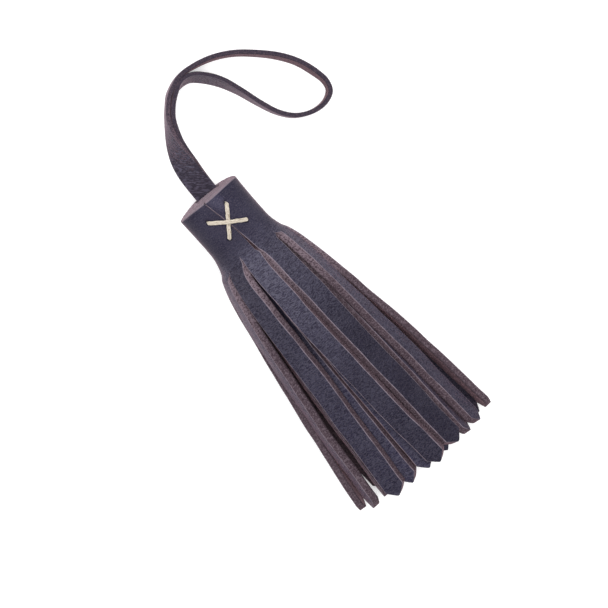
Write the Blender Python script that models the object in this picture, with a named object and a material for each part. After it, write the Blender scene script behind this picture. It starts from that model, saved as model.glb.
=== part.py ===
"""A leather tassel lying on its side: one fringed sheet of leather rolled tight into a round head,
a folded strap held by its two ends in the middle of the roll, and a cross stitch over the seam.

The tassel's own frame has its origin on the floor under the head's end. The roll's axis is level
and runs along -Y from there to the strip tips. Angles round the roll start at the top and grow
towards +X. Reach is the distance from the head's end towards the tips.
"""

import math

import bmesh
import bpy
import numpy as np
from mathutils import Vector

MM = 0.001

# Where the head's end stands, with the middle of the whole object's base at the origin
HEAD_END = Vector((-0.01273, 0.03639, 0.0))

# The rolled sheet
LEATHER = 2.3 * MM
SHEET_HEIGHT = 105.5 * MM
POINT_LENGTH = 2.9 * MM
AXIS_HEIGHT = 12.6 * MM

# The head
HEAD_RADIUS = 10.25 * MM
HEAD_LENGTH = 20.5 * MM
FLARE_START = 13.0 * MM
FLARE = 2.0 * MM
RIM_ROUND = 0.3 * MM
LAP_STEP = 0.55 * MM
END_SWELL = 1.0 * MM
HEAD_COLUMNS = 44
SEAM_AT_END = math.radians(-8.0)
SEAM_AT_SLITS = math.radians(10.5)
SEAM_GAP_START = 12.5 * MM

# Where the strips leave the head: how deep the middle of the leather lies in each wrap
WRAP_DEPTH = {"outer": 1.35 * MM, "middle": 4.1 * MM, "inner": 7.05 * MM}
ROOT_SINK = 0.45 * MM
STRIP_START = 17.0 * MM
SHOULDER = 0.45 * MM
SHOULDER_LENGTH = 2.0 * MM
STRIP_STATIONS = 15

# One row for each strip. root: its angle on the roll. tip_x, tip_z and tip_turn: where the middle
# of its tip lies and the angle that its grain side faces. bow_x, bow_z: how far its middle stands
# off the straight line. settle: the reach over which it comes to its tip's height.
STRIP_COLUMNS = ("wrap", "width", "root", "tip_x", "tip_z", "tip_turn", "bow_x", "bow_z", "settle")
STRIPS = (
    ("outer", 6.0, -4, 3.3, 21.8, -8, 0.0, 1.8, 85),
    ("outer", 6.2, 28, 10.8, 19.0, 22, 0.6, 2.0, 85),
    ("outer", 5.8, 60, 19.2, 11.6, 59, 2.0, 1.6, 85),
    ("outer", 5.8, 92, 24.2, 4.4, 106, 2.5, 0.4, 85),
    ("outer", 5.8, 124, 15.4, 1.15, 180, 1.4, 0.0, 24),
    ("outer", 5.8, 156, 5.9, 1.15, 180, 0.6, 0.0, 18),
    ("outer", 5.8, -172, -4.0, 1.15, -180, -0.6, 0.0, 18),
    ("outer", 5.8, -138, -14.1, 1.15, -180, -1.6, 0.0, 22),
    ("outer", 5.8, -102, -23.6, 4.4, -102, -1.8, 0.2, 85),
    ("outer", 5.8, -69, -20.4, 9.0, -76, -1.2, 1.2, 85),
    ("outer", 6.0, -36, -12.7, 17.0, -20, -0.4, 2.0, 85),
    ("middle", 5.2, -77, -15.7, 10.2, -84, -0.9, 0.8, 85),
    ("middle", 5.2, -37, -7.0, 16.2, -20, -0.4, 1.6, 85),
    ("middle", 5.2, 2, -0.3, 17.8, -4, 0.0, 1.4, 85),
    ("middle", 5.2, 40, 6.9, 16.6, 14, 0.3, 1.5, 85),
    ("middle", 5.2, 76, 15.3, 13.3, 68, 1.6, 1.4, 85),
    ("middle", 5.2, 113, 21.2, 5.3, 95, 2.2, 0.2, 60),
    ("middle", 5.2, 152, 10.6, 3.9, 180, 1.0, 0.0, 26),
    ("middle", 5.2, -170, 0.9, 3.9, -180, 0.0, 0.0, 22),
    ("middle", 5.2, -130, -8.8, 3.9, -180, -1.0, 0.0, 26),
    ("inner", 5.0, -60, -10.4, 11.2, -42, -0.6, 0.6, 85),
    ("inner", 5.0, 12, 0.3, 13.6, 4, 0.0, 0.8, 85),
    ("inner", 5.0, 84, 9.6, 11.6, 42, 0.8, 0.6, 85),
    ("inner", 5.0, 156, 5.2, 7.2, 176, 0.4, 0.0, 40),
    ("inner", 5.0, -132, -4.4, 7.4, -176, -0.6, 0.0, 40),
)

# The strap, folded in half grain side out, both ends in the roll
STRAP_WIDTH = 7.3 * MM
STRAP_THICKNESS = 1.4 * MM
STRAP_GAP = 0.6 * MM
STRAP_STATIONS = 84
FLOOR_CLEARANCE = 0.03 * MM

# Where the two layers lie together, from inside the head outwards. x and y from the head's end,
# z above the floor, roll: 0 with the grain side up, 90 standing on its left edge.
STEM_COLUMNS = ("x", "y", "z", "roll")
STEM = (
    (0.8, -9.0, 13.0, 0),
    (0.8, -3.0, 13.0, 0),
    (0.9, 2.5, 13.0, 2),
    (1.5, 9.2, 12.4, 14),
    (2.8, 17.7, 10.5, 45),
    (5.6, 24.6, 8.0, 68),
    (8.3, 27.6, 6.8, 78),
    (11.5, 29.4, 5.8, 87),
)

# The open loop, on from the outer layer round to the inner one. lift: the height of its lower
# edge above the floor.
LOOP_COLUMNS = ("x", "y", "lift", "roll")
LOOP = (
    (16.8, 31.6, 1.0, 95),
    (21.9, 31.0, 0.3, 104),
    (27.6, 29.3, 0.0, 107),
    (33.0, 26.3, 0.0, 108),
    (38.4, 22.0, 0.0, 107),
    (43.3, 17.0, 0.0, 106),
    (46.7, 12.0, 0.0, 103),
    (48.9, 6.6, 0.0, 99),
    (49.6, 2.6, 0.0, 95),
    (48.7, -0.4, 0.0, 90),
    (45.6, -2.1, 0.0, 86),
    (41.2, -2.0, 0.0, 84),
    (36.2, 0.4, 0.0, 84),
    (32.7, 4.6, 0.0, 84),
    (30.1, 10.5, 0.0, 79),
    (27.9, 16.8, 0.0, 74),
    (25.8, 22.6, 0.0, 69),
    (23.0, 26.8, 0.1, 66),
    (19.2, 29.0, 0.5, 68),
    (15.2, 29.3, 1.3, 79),
)

# The pocket in the roll's end that holds the strap's ends
POCKET_CLEARANCE = 0.3 * MM
POCKET_DEPTH = 12.0 * MM

# The cross stitch: where each arm's ends enter the leather, x across and reach from the end
STITCH_COLUMNS = ("x_from", "reach_from", "x_to", "reach_to")
STITCH_ARMS = (
    (-4.4, 5.0, 5.6, 12.0),
    (4.0, 3.8, -2.5, 13.0),
)
THREAD_WIDTH = 1.4 * MM
THREAD_DEPTH = 0.6 * MM
THREAD_GAP = 0.3 * MM
STITCH_HOLE = 1.9 * MM
STITCH_HOLE_DEPTH = 1.3 * MM
STITCH_HOLE_INSET = 0.4 * MM
ARM_STATIONS = 14
ARM_SIDES = 8


def rows(table, columns):
    """Each row of a table as a dictionary of its named columns."""
    return [dict(zip(columns, row)) for row in table]


def smooth(t):
    """0 to 1 with level ends."""
    t = min(max(t, 0.0), 1.0)
    return t * t * (3 - 2 * t)


def on_roll(angle, radius, reach):
    """A point at that angle and radius from the roll's axis."""
    return Vector((radius * math.sin(angle), -reach, AXIS_HEIGHT + radius * math.cos(angle)))


def head_radius(reach):
    """The head's outer radius: a slight waist, then the flare down to the slits."""
    waist = 0.2 * MM * ((reach - 8 * MM) / (8 * MM)) ** 2 if reach < 8 * MM else 0.0
    rise = max(0.0, (reach - FLARE_START) / (HEAD_LENGTH - FLARE_START))
    return HEAD_RADIUS + waist + FLARE * rise**1.6


def seam_angle(reach):
    """The seam leans across the head as it runs down to the slits."""
    return SEAM_AT_END + (SEAM_AT_SLITS - SEAM_AT_END) * smooth(reach / HEAD_LENGTH)


def shade(obj, name, colour, roughness):
    """Gives an object its own material and smooth faces between sharp edges."""
    material = bpy.data.materials.new(name)
    material.use_nodes = True
    surface = material.node_tree.nodes["Principled BSDF"]
    surface.inputs["Base Color"].default_value = (*colour, 1.0)
    surface.inputs["Roughness"].default_value = roughness
    surface.inputs["Metallic"].default_value = 0.0
    obj.data.materials.append(material)
    obj.data.shade_smooth()
    obj.data.set_sharp_from_angle(angle=math.radians(35))


def mesh_object(name, points, faces, parent, collection):
    """A mesh object under the tassel's empty, its faces turned outwards."""
    mesh = bpy.data.meshes.new(name)
    mesh.from_pydata([tuple(p) for p in points], [], faces)
    shape = bmesh.new()
    shape.from_mesh(mesh)
    bmesh.ops.recalc_face_normals(shape, faces=shape.faces)
    shape.to_mesh(mesh)
    shape.free()
    obj = bpy.data.objects.new(name, mesh)
    collection.objects.link(obj)
    obj.parent = parent
    return obj


def lofted(rings):
    """Points and faces of a closed body through rings of equal length, both ends capped."""
    count = len(rings[0])
    points = [p for ring in rings for p in ring]
    faces = [tuple(reversed(range(count)))]
    for row in range(len(rings) - 1):
        for k in range(count):
            a = row * count + k
            b = row * count + (k + 1) % count
            faces.append((a, b, b + count, a + count))
    last = (len(rings) - 1) * count
    faces.append(tuple(range(last, last + count)))
    return points, faces


def helper(name, points, faces, parent, collection):
    """A closed shape that only joins or cuts another, left out of the part."""
    obj = mesh_object(name, points, faces, parent, collection)
    obj.hide_render = True
    obj.display_type = "WIRE"
    return obj


def head_rings():
    """Rings round the rolled head, from its swollen end to the slits, stepped at the seam."""
    swell = ((0.30, 0.95), (0.62, 0.55), (0.88, 0.16))
    sections = [(share, -END_SWELL * out) for share, out in swell]
    sections += [(1.0 - RIM_ROUND / HEAD_RADIUS, 0.0)]
    reaches = [0.4, 4.0, 8.0, 11.0, 13.5, 15.5, 17.2, 18.9, 20.5]
    sections += [(1.0, reach * MM) for reach in reaches]
    rings = []
    for share, reach in sections:
        start = seam_angle(max(reach, 0.0))
        radius = head_radius(max(reach, 0.0))
        ring = []
        for k in range(HEAD_COLUMNS + 1):
            turn = k / HEAD_COLUMNS
            angle = start + turn * 2 * math.pi * (1 - 0.0015)
            ring.append(on_roll(angle, share * (radius + lap(turn)), reach))
        rings.append(ring)
    return rings


def lap(turn):
    """How far the sheet stands off the plain roll after that share of a turn from the seam."""
    return LAP_STEP * (0.5 - turn)


def strip_section(strip, reach):
    """The middle of a strip's leather at that reach, and the angle that its grain side faces."""
    root = math.radians(strip["root"])
    in_head = min(reach, HEAD_LENGTH)
    radius = head_radius(in_head) + lap((root - SEAM_AT_SLITS) / (2 * math.pi) % 1.0)
    sink = ROOT_SINK * (HEAD_LENGTH - in_head) / (HEAD_LENGTH - STRIP_START)
    start = on_roll(root, radius - WRAP_DEPTH[strip["wrap"]] - sink, reach)
    t = max(0.0, (reach - HEAD_LENGTH) / (SHEET_HEIGHT - HEAD_LENGTH))
    past = max(0.0, reach - HEAD_LENGTH)
    settled = smooth(past / (strip["settle"] * MM)) if strip["settle"] < 80 else t
    step_out = SHOULDER * (1 - math.exp(-past / SHOULDER_LENGTH)) * (1 - t)
    bow = 4 * t * (1 - t)
    x = start.x + (strip["tip_x"] * MM - start.x) * t
    x += strip["bow_x"] * MM * bow + step_out * math.sin(root)
    z = start.z + (strip["tip_z"] * MM - start.z) * settled
    z += strip["bow_z"] * MM * bow + step_out * max(0.0, math.cos(root))
    turn = strip["root"] + (strip["tip_turn"] - strip["root"]) * smooth(settled)
    return Vector((x, -reach, z)), math.radians(turn)


def strip_rings(strip):
    """Four-cornered rings down one strip, drawn in to its pointed tip."""
    body = SHEET_HEIGHT - POINT_LENGTH
    reaches = [
        STRIP_START + (body - STRIP_START) * (k / (STRIP_STATIONS - 1)) ** 1.5
        for k in range(STRIP_STATIONS)
    ]
    widths = [strip["width"] * MM] * STRIP_STATIONS
    reaches.append(SHEET_HEIGHT)
    widths.append(0.5 * MM)
    rings = []
    for reach, width in zip(reaches, widths):
        middle, turn = strip_section(strip, reach)
        across = Vector((math.cos(turn), 0, -math.sin(turn))) * width / 2
        out = Vector((math.sin(turn), 0, math.cos(turn))) * LEATHER / 2
        rings.append([middle - across - out, middle - across + out,
                      middle + across + out, middle + across - out])
    return rings


def through(values, count):
    """Values read at even steps of a smooth curve through the rows of an array."""
    values = np.array(values, float)
    padded = np.vstack([2 * values[0] - values[1], values, 2 * values[-1] - values[-2]])
    steps = np.linalg.norm(np.diff(padded[:, :3], axis=0), axis=1) ** 0.5
    knots = np.concatenate([[0], np.cumsum(steps)])
    fine = []
    for k in range(1, len(padded) - 2):
        t0, t1, t2, t3 = knots[k - 1 : k + 3]
        p0, p1, p2, p3 = padded[k - 1 : k + 3]
        for t in np.linspace(t1, t2, 12, endpoint=False):
            a1 = (t1 - t) / (t1 - t0) * p0 + (t - t0) / (t1 - t0) * p1
            a2 = (t2 - t) / (t2 - t1) * p1 + (t - t1) / (t2 - t1) * p2
            a3 = (t3 - t) / (t3 - t2) * p2 + (t - t2) / (t3 - t2) * p3
            b1 = (t2 - t) / (t2 - t0) * a1 + (t - t0) / (t2 - t0) * a2
            b2 = (t3 - t) / (t3 - t1) * a2 + (t - t1) / (t3 - t1) * a3
            fine.append((t2 - t) / (t2 - t1) * b1 + (t - t1) / (t2 - t1) * b2)
    fine.append(padded[-2])
    fine = np.array(fine)
    along = np.concatenate([[0], np.cumsum(np.linalg.norm(np.diff(fine[:, :3], axis=0), axis=1))])
    at = np.linspace(0, along[-1], count)
    return np.stack([np.interp(at, along, fine[:, j]) for j in range(fine.shape[1])], axis=1)


def strap_frames(path):
    """At each point of a path with its roll: the width and grain directions of the strap."""
    tangents = np.gradient(path[:, :3], axis=0)
    frames = []
    for tangent, roll in zip(tangents, np.radians(path[:, 3])):
        along = Vector(tangent).normalized()
        right = along.cross(Vector((0, 0, 1))).normalized()
        up = right.cross(along)
        width = right * math.cos(roll) + up * math.sin(roll)
        grain = up * math.cos(roll) - right * math.sin(roll)
        frames.append((width, grain))
    return frames


def strap_path():
    """The middle of the strap from one end to the other: x, y, z and roll."""
    offset = (STRAP_THICKNESS + STRAP_GAP) / 2
    stem = [(r["x"] * MM, r["y"] * MM, r["z"] * MM, r["roll"]) for r in rows(STEM, STEM_COLUMNS)]
    stem = through(stem, 12)
    frames = strap_frames(stem)
    out = [(*(Vector(p[:3]) + grain * offset), p[3]) for p, (_, grain) in zip(stem, frames)]
    back = [(*(Vector(p[:3]) - grain * offset), 180 - p[3]) for p, (_, grain) in zip(stem, frames)]
    loop = []
    for row in rows(LOOP, LOOP_COLUMNS):
        roll = math.radians(row["roll"])
        half = STRAP_WIDTH / 2 * math.sin(roll) + STRAP_THICKNESS / 2 * abs(math.cos(roll))
        height = FLOOR_CLEARANCE + row["lift"] * MM + half
        loop.append((row["x"] * MM, row["y"] * MM, height, row["roll"]))
    return through(out + loop + back[::-1], STRAP_STATIONS)


def strap_rings():
    """Four-cornered rings along the strap."""
    path = strap_path()
    rings = []
    for point, (width, grain) in zip(path, strap_frames(path)):
        across = width * STRAP_WIDTH / 2
        out = grain * STRAP_THICKNESS / 2
        middle = Vector(point[:3])
        rings.append([middle - across - out, middle + across - out,
                      middle + across + out, middle - across + out])
    return rings


def stitch_rings(arm):
    """An oval thread over the head's curve, thinner where its ends dive into the leather."""
    rings = []
    start = Vector((arm["x_from"], arm["reach_from"])) * MM
    end = Vector((arm["x_to"], arm["reach_to"])) * MM
    run = (end - start).normalized()
    for k in range(ARM_STATIONS):
        t = k / (ARM_STATIONS - 1)
        flat = start.lerp(end, t)
        fullness = math.sin(math.pi * t) ** 0.2
        surface = head_radius(flat.y) + 0.5 * LAP_STEP
        angle = math.asin(flat.x / surface)
        dive = (THREAD_GAP + STITCH_HOLE_DEPTH * 0.6 + THREAD_DEPTH / 2) * (1 - fullness)
        middle = on_roll(angle, surface + THREAD_GAP + THREAD_DEPTH / 2 - dive, flat.y)
        out = Vector((math.sin(angle), 0, math.cos(angle)))
        along = Vector((run.x * math.cos(angle), -run.y, -run.x * math.sin(angle)))
        across = along.cross(out).normalized()
        half_width = THREAD_WIDTH / 2 * (0.55 + 0.45 * fullness)
        ring = []
        for side in range(ARM_SIDES):
            around = 2 * math.pi * side / ARM_SIDES
            ring.append(middle + across * half_width * math.cos(around)
                        + out * THREAD_DEPTH / 2 * math.sin(around))
        rings.append(ring)
    return rings


def box_rings(low, high):
    """The two end rings of an upright box between two corners, along Y."""
    return [
        [Vector((low.x, y, low.z)), Vector((low.x, y, high.z)),
         Vector((high.x, y, high.z)), Vector((high.x, y, low.z))]
        for y in (high.y, low.y)
    ]


def seam_gap_rings():
    """The thin wedge where the seam opens above the slits."""
    rings = []
    for share in (0.0, 0.5, 1.0):
        reach = SEAM_GAP_START + (HEAD_LENGTH + 1 * MM - SEAM_GAP_START) * share
        angle = seam_angle(reach) - 0.02
        half = (0.12 + 0.38 * share) * MM
        deep = on_roll(angle, head_radius(reach) - (0.6 + 1.6 * share) * MM, reach)
        high = on_roll(angle, head_radius(reach) + 1.5 * MM, reach)
        side = Vector((math.cos(angle), 0, -math.sin(angle))) * half
        rings.append([deep - side, high - side, high + side, deep + side])
    return rings


def hole_rings(end, other):
    """A small round hole into the leather just inside a stitch arm's end."""
    x, reach = end + (other - end).normalized() * STITCH_HOLE_INSET
    surface = head_radius(reach)
    angle = math.asin(x / surface)
    out = Vector((math.sin(angle), 0, math.cos(angle)))
    side = Vector((math.cos(angle), 0, -math.sin(angle)))
    middle = on_roll(angle, surface, reach)
    rings = []
    for depth in (-STITCH_HOLE_DEPTH, 1.2 * MM):
        ring = []
        for k in range(8):
            around = -2 * math.pi * (k + 0.5) / 8
            ring.append(middle + out * depth + side * STITCH_HOLE / 2 * math.cos(around)
                        + Vector((0, 1, 0)) * STITCH_HOLE / 2 * math.sin(around))
        rings.append(ring)
    return rings


def boolean(obj, operation, collection):
    """Joins or cuts an object with every shape of a collection."""
    modifier = obj.modifiers.new(operation.title(), "BOOLEAN")
    modifier.operation = operation
    modifier.operand_type = "COLLECTION"
    modifier.collection = collection
    modifier.solver = "EXACT"


def make_rolled_leather(parent, scene_collection):
    """The rolled sheet: its head, with every strip fused to it, the pocket, seam gap and holes."""
    joined = bpy.data.collections.new("Strips")
    cut = bpy.data.collections.new("Cutters")
    for collection in (joined, cut):
        scene_collection.children.link(collection)
    for number, strip in enumerate(rows(STRIPS, STRIP_COLUMNS)):
        helper(f"strip_{number:02d}", *lofted(strip_rings(strip)), parent, joined)
    entry = rows(STEM, STEM_COLUMNS)[0]
    half_width = STRAP_WIDTH / 2 + POCKET_CLEARANCE
    half_height = STRAP_THICKNESS + STRAP_GAP / 2 + POCKET_CLEARANCE
    middle = Vector((entry["x"] * MM, 0, entry["z"] * MM))
    low = middle + Vector((-half_width, -POCKET_DEPTH, -half_height))
    high = middle + Vector((half_width, 4 * MM, half_height))
    helper("strap_pocket", *lofted(box_rings(low, high)), parent, cut)
    helper("seam_gap", *lofted(seam_gap_rings()), parent, cut)
    for number, arm in enumerate(rows(STITCH_ARMS, STITCH_COLUMNS)):
        first = Vector((arm["x_from"], arm["reach_from"])) * MM
        last = Vector((arm["x_to"], arm["reach_to"])) * MM
        helper(f"stitch_hole_{number}_from", *lofted(hole_rings(first, last)), parent, cut)
        helper(f"stitch_hole_{number}_to", *lofted(hole_rings(last, first)), parent, cut)
    obj = mesh_object("rolled_leather", *lofted(head_rings()), parent, scene_collection)
    boolean(obj, "UNION", joined)
    boolean(obj, "DIFFERENCE", cut)
    shade(obj, "navy_leather", (0.058, 0.052, 0.079), 0.55)
    return obj


def make_strap_loop(parent, scene_collection):
    """The folded strap with its open loop."""
    obj = mesh_object("strap_loop", *lofted(strap_rings()), parent, scene_collection)
    shade(obj, "strap_leather", (0.07, 0.061, 0.09), 0.5)
    return obj


def make_cross_stitch(parent, scene_collection):
    """The two crossed arms of one thread."""
    over, under = rows(STITCH_ARMS, STITCH_COLUMNS)
    arms = bpy.data.collections.new("Stitch arms")
    scene_collection.children.link(arms)
    helper("under_arm", *lofted(stitch_rings(under)), parent, arms)
    obj = mesh_object("cross_stitch", *lofted(stitch_rings(over)), parent, scene_collection)
    boolean(obj, "UNION", arms)
    shade(obj, "waxed_thread", (0.68, 0.6, 0.45), 0.7)
    return obj


def main():
    for obj in list(bpy.data.objects):
        bpy.data.objects.remove(obj, do_unlink=True)
    scene_collection = bpy.context.scene.collection
    tassel = bpy.data.objects.new("tassel", None)
    tassel.location = HEAD_END
    scene_collection.objects.link(tassel)
    make_rolled_leather(tassel, scene_collection)
    make_strap_loop(tassel, scene_collection)
    make_cross_stitch(tassel, scene_collection)


main()
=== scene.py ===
"""A leather tassel on a pale table: one fringed sheet of dark navy leather rolled into a head, a
strap folded into a loop in the middle of the roll, and a cross stitch over the sheet's seam.

The tassel's own frame is the solids' one: its origin is on the table under the head's end, and the
roll's axis is level and runs along -Y to the strip tips. Angles round the roll start at the top and
grow towards +X. Reach is the distance from the head's end towards the tips. The tables are in
millimetres and degrees.
"""

import math

import bmesh
import bpy
import numpy as np
from mathutils import Matrix, Vector, noise


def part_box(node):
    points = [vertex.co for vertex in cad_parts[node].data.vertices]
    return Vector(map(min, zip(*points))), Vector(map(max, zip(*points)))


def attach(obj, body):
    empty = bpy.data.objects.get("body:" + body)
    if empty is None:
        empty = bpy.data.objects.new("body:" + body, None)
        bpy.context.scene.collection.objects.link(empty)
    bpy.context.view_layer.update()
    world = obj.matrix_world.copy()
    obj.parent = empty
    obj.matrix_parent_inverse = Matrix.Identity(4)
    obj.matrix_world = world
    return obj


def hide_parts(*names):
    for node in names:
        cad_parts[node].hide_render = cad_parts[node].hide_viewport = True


bl_info = {
    "name": "Leather Tassel",
    "version": (1, 0, 0),
    "blender": (4, 5, 0),
    "location": "3D View > Sidebar > Tassel",
    "description": "Dresses a rolled and fringed leather tassel, its strap loop and its cross stitch",
    "category": "Object",
}

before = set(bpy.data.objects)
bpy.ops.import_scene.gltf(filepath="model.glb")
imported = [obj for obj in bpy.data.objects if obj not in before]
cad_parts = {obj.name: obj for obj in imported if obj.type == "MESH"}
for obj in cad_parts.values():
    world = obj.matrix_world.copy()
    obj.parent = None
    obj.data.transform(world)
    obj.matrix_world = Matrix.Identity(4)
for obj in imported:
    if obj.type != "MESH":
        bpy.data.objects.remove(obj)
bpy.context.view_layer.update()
SHEET_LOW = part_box("rolled_leather")[0]

MM = 0.001

# The rolled sheet
SHEET_HEIGHT = 105.5 * MM
POINT_LENGTH = 2.7 * MM
HEAD_END = Vector((-12.73 * MM, SHEET_LOW[1] + SHEET_HEIGHT, 0.0))
AXIS_HEIGHT = 12.6 * MM

# The head
HEAD_RADIUS = 10.4 * MM
HEAD_LENGTH = 20.5 * MM
HEAD_LEAN = 0.25 * MM
FLARE_START = 14.3 * MM
FLARE = 1.2 * MM
RIM_ROUND = 0.35 * MM
LAP_STEP = 0.55 * MM
END_SWELL = 1.0 * MM
RIM_SET_BACK = 0.62 * MM
RIM_FORWARD = 0.3 * MM
RIM_SLANT = 0.5 * MM
WAIST = 0.25 * MM
WAIST_REACH = 8 * MM
WINDING_GROOVE = 0.16 * MM
SEAM_AT_END = math.radians(-9.0)
SEAM_AT_SLITS = math.radians(8.0)
SEAM_GAP_START = 11.6 * MM
SEAM_GAP = 0.8 * MM
SEAM_GAP_CLOSED = 0.17 * MM
HEAD_ROW = 0.33 * MM
END_ROWS = 28
FIRST_SLIT = 18.2 * MM

# Where the strips leave the head: how deep the middle of the leather lies in each wrap
WRAP_DEPTH = {"outer": 1.15 * MM, "middle": 4.1 * MM, "inner": 7.05 * MM}
INNER_START = 13.0 * MM
OPENING_LENGTH = 1.5 * MM
CUT_SPREAD = 0.5 * MM
SHOULDER = 1.6 * MM
SHOULDER_LENGTH = 3.5 * MM
LEAN_REACH = 5.5 * MM
HANGS_FREE_FROM = 80
DRIFT = 0.16 * MM
DRIFT_START = 12 * MM
NEAR_ROW = 0.5 * MM
NEAR_END = 30 * MM
FAR_ROWS = 62

# One row for each strip. The outer ones come in the sheet's own order from its lapped end. longer:
# how far its tip passes the sheet's height. root: the angle of its middle on the roll. slit: the
# reach where the slit on its left starts. step_x: how far it steps sideways below the head. tip_x,
# tip_z and tip_turn: where the middle of its tip lies and the angle that its grain side faces.
# lean: how far it leans over just below the head. bow_x, bow_z: how far its middle stands off the
# straight line. settle: the reach over which it comes to its tip's height, for a strip that lies
# on the others or on the table; above HANGS_FREE_FROM it goes there evenly. tone and tip_tone: how
# light its grain is near the head and near its tip, 0.5 as dyed. Besides the dye's own unevenness
# they hold painted shade: low tones darken the strips that lie deep among the others.
STRIP_COLUMNS = (
    "wrap", "width", "longer", "root", "slit", "step_x", "tip_x", "tip_z", "tip_turn", "lean",
    "bow_x", "bow_z", "settle", "tone", "tip_tone",
)
STRIPS = (
    ("outer", 7.0, -0.85, 26, 19.6, -0.1, 10.6, 19.0, 33, 7, -0.1, 2.0, 85, 0.35, -0.4),
    ("outer", 6.1, 0.25, 70, 20.0, -0.5, 19.5, 11.6, 59, 0, 0.7, 1.6, 85, 0.6, 0.4),
    ("outer", 6.0, 0.3, 94, 21.0, 0.0, 25.2, 4.4, 106, 0, 1.1, 0.4, 85, 0.5, 0.3),
    ("outer", 6.0, 0.0, 124, 20.2, 0.0, 16.2, 1.32, 180, 0, 2.0, 0.0, 24, 0.5, 0.5),
    ("outer", 6.0, 0.2, 156, 20.3, 0.0, 5.9, 1.32, 180, 0, 0.6, 0.0, 18, 0.4, 0.4),
    ("outer", 6.0, 0.0, 188, 20.1, 0.0, -4.0, 1.32, 180, 0, -0.6, 0.0, 18, 0.6, 0.6),
    ("outer", 6.0, -0.2, 222, 20.4, 0.0, -14.1, 1.32, 180, 0, -2.9, 0.0, 22, 0.5, 0.5),
    ("outer", 6.0, 0.1, 258, 20.6, 0.0, -24.2, 4.4, 258, 0, -0.8, 0.2, 85, 0.5, 0.4),
    ("outer", 6.1, 1.0, 288, 21.0, -0.5, -20.6, 9.0, 284, -4, -1.15, 1.2, 85, 0.7, 0.4),
    ("outer", 6.6, 0.75, 322, 21.0, -1.1, -12.7, 17.0, 338, -10, 0.4, 2.0, 85, 0.2, 0.42),
    ("outer", 6.3, -0.35, 354, 18.4, -0.35, 3.3, 21.8, 346, -6, -0.8, 1.8, 85, 0.75, 0.1),
    ("middle", 5.6, 0.4, -77, 0, 0.0, -15.7, 9.0, -84, 0, -0.9, 0.6, 85, 0.4, 0.4),
    # Painted shade: these two middle strips are darkened near the head, where they lie deep below the
    # outer strips, and grow lighter towards their tips.
    ("middle", 5.6, 0.65, -37, 0, 0.0, -7.1, 16.2, -22, 0, -0.5, 0.9, 85, -1.0, 1.0),
    ("middle", 5.6, 0.0, 2, 0, 0.0, -0.4, 17.8, -8, 0, -0.7, 1.4, 85, -1.0, 1.0),
    ("middle", 5.6, -0.3, 40, 0, 0.0, 6.7, 16.6, 14, 0, -0.3, 1.5, 85, 0.5, 0.5),
    ("middle", 5.6, 0.45, 76, 0, 0.0, 15.0, 13.3, 68, 0, 0.8, 1.4, 85, 0.5, 0.5),
    # Painted shade: this strip lies in the shade of its neighbour, so its grain is darkened all along.
    ("middle", 5.6, 0.0, 113, 0, 0.0, 21.0, 4.6, 52, 0, 2.0, 0.2, 60, 0.1, 0.1),
    ("middle", 5.6, -0.3, 152, 0, 0.0, 10.6, 3.9, 180, 0, 1.0, 0.0, 26, 0.5, 0.5),
    ("middle", 5.6, 0.3, 190, 0, 0.0, 0.9, 3.9, 180, 0, 0.0, 0.0, 22, 0.5, 0.5),
    ("middle", 5.6, 0.0, 230, 0, 0.0, -8.8, 3.9, 180, 0, -1.0, 0.0, 26, 0.5, 0.5),
    ("inner", 5.2, 0.0, -60, 0, 0.0, -10.4, 11.2, -42, 0, -0.6, 0.6, 85, 0.4, 0.4),
    ("inner", 5.2, -0.4, 12, 0, 0.0, 0.3, 13.6, 4, 0, 0.0, 0.8, 85, 0.5, 0.5),
    ("inner", 5.2, 0.4, 84, 0, 0.0, 9.6, 11.6, 42, 0, 0.8, 0.6, 85, 0.4, 0.4),
    ("inner", 5.2, 0.0, 156, 0, 0.0, 5.2, 7.2, 176, 0, 0.4, 0.0, 40, 0.5, 0.5),
    ("inner", 5.2, 0.0, 228, 0, 0.0, -4.4, 7.4, 184, 0, -0.6, 0.0, 40, 0.5, 0.5),
)

# The strap, folded in half grain side out, both ends in the roll
STRAP_WIDTH = 7.3 * MM
STRAP_THICKNESS = 1.4 * MM
STRAP_GAP = 0.16 * MM
STRAP_TUCK = 0.7 * MM
STRAP_STATIONS = 300
FLOOR_CLEARANCE = 0.03 * MM

# Where the two layers lie together, from inside the head outwards. x and y from the head's end,
# z above the table, roll: 0 with the grain side up, 90 standing on its left edge.
STEM_COLUMNS = ("x", "y", "z", "roll")
STEM = (
    (0.8, -9.0, 13.0, 0),
    (0.8, -3.0, 13.0, 0),
    (0.8, 2.5, 13.0, 1),
    (1.2, 9.2, 12.4, 17),
    (3.1, 17.7, 10.5, 64),
    (6.4, 23.9, 8.0, 88),
    (9.0, 26.9, 6.8, 91),
    (12.0, 29.4, 5.8, 91),
)

# The open loop, on from the outer layer round to the inner one. lift: the height of its lower
# edge above the table.
LOOP_COLUMNS = ("x", "y", "lift", "roll")
LOOP = (
    (16.8, 31.9, 1.0, 95),
    (22.0, 31.4, 0.3, 99),
    (28.0, 29.7, 0.0, 100),
    (33.5, 26.8, 0.0, 100),
    (38.8, 22.4, 0.0, 100),
    (43.6, 17.3, 0.0, 101),
    (46.9, 12.2, 0.0, 100),
    (48.9, 6.6, 0.0, 99),
    (49.6, 2.6, 0.0, 95),
    (48.7, -0.4, 0.0, 90),
    (45.6, -2.1, 0.0, 86),
    (41.2, -2.0, 0.0, 84),
    (36.2, 0.4, 0.0, 84),
    (32.7, 4.6, 0.0, 84),
    (30.1, 10.5, 0.0, 82),
    (27.9, 16.8, 0.0, 78),
    (25.4, 22.4, 0.0, 71),
    (22.3, 26.7, 0.1, 68),
    (19.0, 29.5, 0.5, 70),
    (15.6, 30.0, 1.2, 77),
)

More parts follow.
